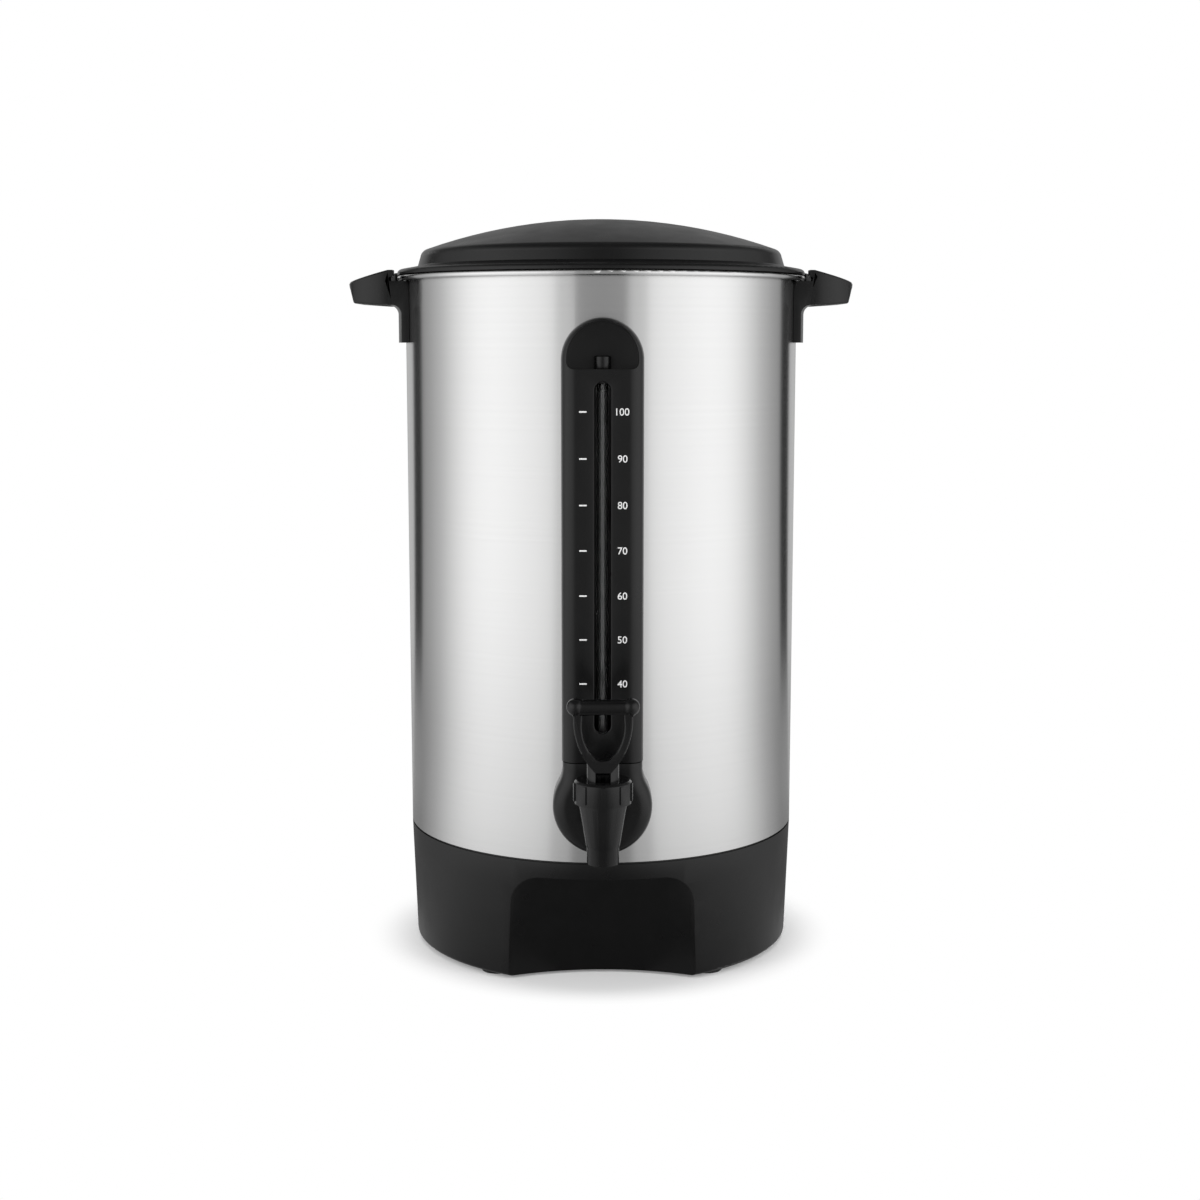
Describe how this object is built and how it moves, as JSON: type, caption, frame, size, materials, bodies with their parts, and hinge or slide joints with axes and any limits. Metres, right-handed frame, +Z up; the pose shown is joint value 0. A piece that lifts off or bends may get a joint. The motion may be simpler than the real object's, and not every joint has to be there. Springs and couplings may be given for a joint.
{
  "type": "coffee urn",
  "caption": "Upright steel coffee urn on a black plastic base, with lift-off lid, side handles, percolator, level gauge and lever tap.",
  "frame": {"origin": "on the tank's axis in the plane of the feet", "axes": "+Z up, the tap and gauge face -Y, the handles lie along X, the power inlet faces +Y"},
  "size_m": [0.3352, 0.3313, 0.4886],
  "materials": {
    "brushed_steel": "brushed round the tank",
    "plain_steel": "plain",
    "heater_steel": "heat-dulled sheath",
    "aluminium": "satin",
    "black_plastic": "fine matte texture",
    "red_plastic": "translucent gloss",
    "gauge_glass": "clear",
    "black_rubber": "matte",
    "clear_silicone": "milky",
    "brass": "plain",
    "painted_plate": "black enamel",
    "mica": "mica sheet",
    "controls_black": "phenolic",
    "cream_ceramic": "glazed",
    "wire_sleeve": "glass-fibre sleeve"
  },
  "bodies": {
    "urn": {"base_feet": "black_rubber", "base_nuts": "plain_steel", "base_plate": "painted_plate", "base_skirt": "black_plastic", "base_studs": "plain_steel", "brew_heater": "heater_steel", "escutcheon": "black_plastic", "gauge_seal_bottom": "black_rubber", "gauge_seal_top": "black_rubber", "gauge_shield": "black_plastic", "handle_left": "black_plastic", "handle_right": "black_plastic", "handle_screws": "plain_steel", "heat_spreader": "aluminium", "inlet_blades": "brass", "power_inlet": "black_plastic", "shield_screws": "plain_steel", "sight_glass": "gauge_glass", "switch_housing": "black_plastic", "switch_tabs": "brass", "tank_bottom": "plain_steel", "tank_wall": "brushed_steel", "tap_body": "black_plastic", "tap_collar": "black_plastic", "tap_nut": "black_plastic", "tap_seal_inner": "clear_silicone", "tap_seal_outer": "clear_silicone", "tap_shank": "black_plastic", "tap_spring": "plain_steel", "tap_turret": "black_plastic", "terminal_block": "cream_ceramic", "thermal_fuse": "controls_black", "thermostat": "controls_black", "thermostat_strap": "plain_steel", "warming_element": "mica", "wiring": "wire_sleeve"},
    "lid": {"lid": "black_plastic"},
    "basket_cover": {"basket_cover": "aluminium"},
    "basket": {"brew_basket": "aluminium"},
    "percolator": {"percolator_tube": "aluminium", "pump_bell": "aluminium"},
    "valve": {"valve_stem": "black_plastic", "seat_cup": "clear_silicone", "lever_pin": "plain_steel"},
    "lever": {"tap_lever": "black_plastic"},
    "gauge_cap": {"gauge_cap": "black_plastic"},
    "rocker": {"switch_rocker": "red_plastic"}
  },
  "joints": [
    {"name": "lid_lift", "type": "slide", "parent": "urn", "child": "lid", "axis": [0, 0, 1], "range_m": [0, 0.55]},
    {"name": "cover_lift", "type": "slide", "parent": "urn", "child": "basket_cover", "axis": [0, 0, 1], "range_m": [0, 0.48]},
    {"name": "basket_lift", "type": "slide", "parent": "urn", "child": "basket", "axis": [0, 0, 1], "range_m": [0, 0.44]},
    {"name": "percolator_lift", "type": "slide", "parent": "urn", "child": "percolator", "axis": [0, 0, 1], "range_m": [0, 0.39]},
    {"name": "valve_lift", "type": "slide", "parent": "urn", "child": "valve", "axis": [0, 0, 1], "range_m": [0, 0.00366], "stiffness_N_per_m": 250, "springref_m": -0.004, "deforming": ["tap_spring"]},
    {"name": "lever_tilt", "type": "hinge", "parent": "valve", "child": "lever", "pos_m": [0, -0.1767, 0.1518], "axis": [1, 0, 0], "range_deg": [0, 30]},
    {"name": "cap_pull", "type": "slide", "parent": "urn", "child": "gauge_cap", "axis": [0, 0, 1], "range_m": [0, 0.012]},
    {"name": "rocker_tilt", "type": "hinge", "parent": "urn", "child": "rocker", "pos_m": [0.02, 0.1225, 0.042], "axis": [1, 0, 0], "range_deg": [0, 18]}
  ],
  "couplings": [
    {"joint": "cover_lift", "follows": "lid_lift", "ratio": 0.86},
    {"joint": "basket_lift", "follows": "lid_lift", "ratio": 0.78},
    {"joint": "percolator_lift", "follows": "lid_lift", "ratio": 0.7},
    {"joint": "lever_tilt", "follows": "valve_lift", "rad_per_m": 142.86}
  ]
}
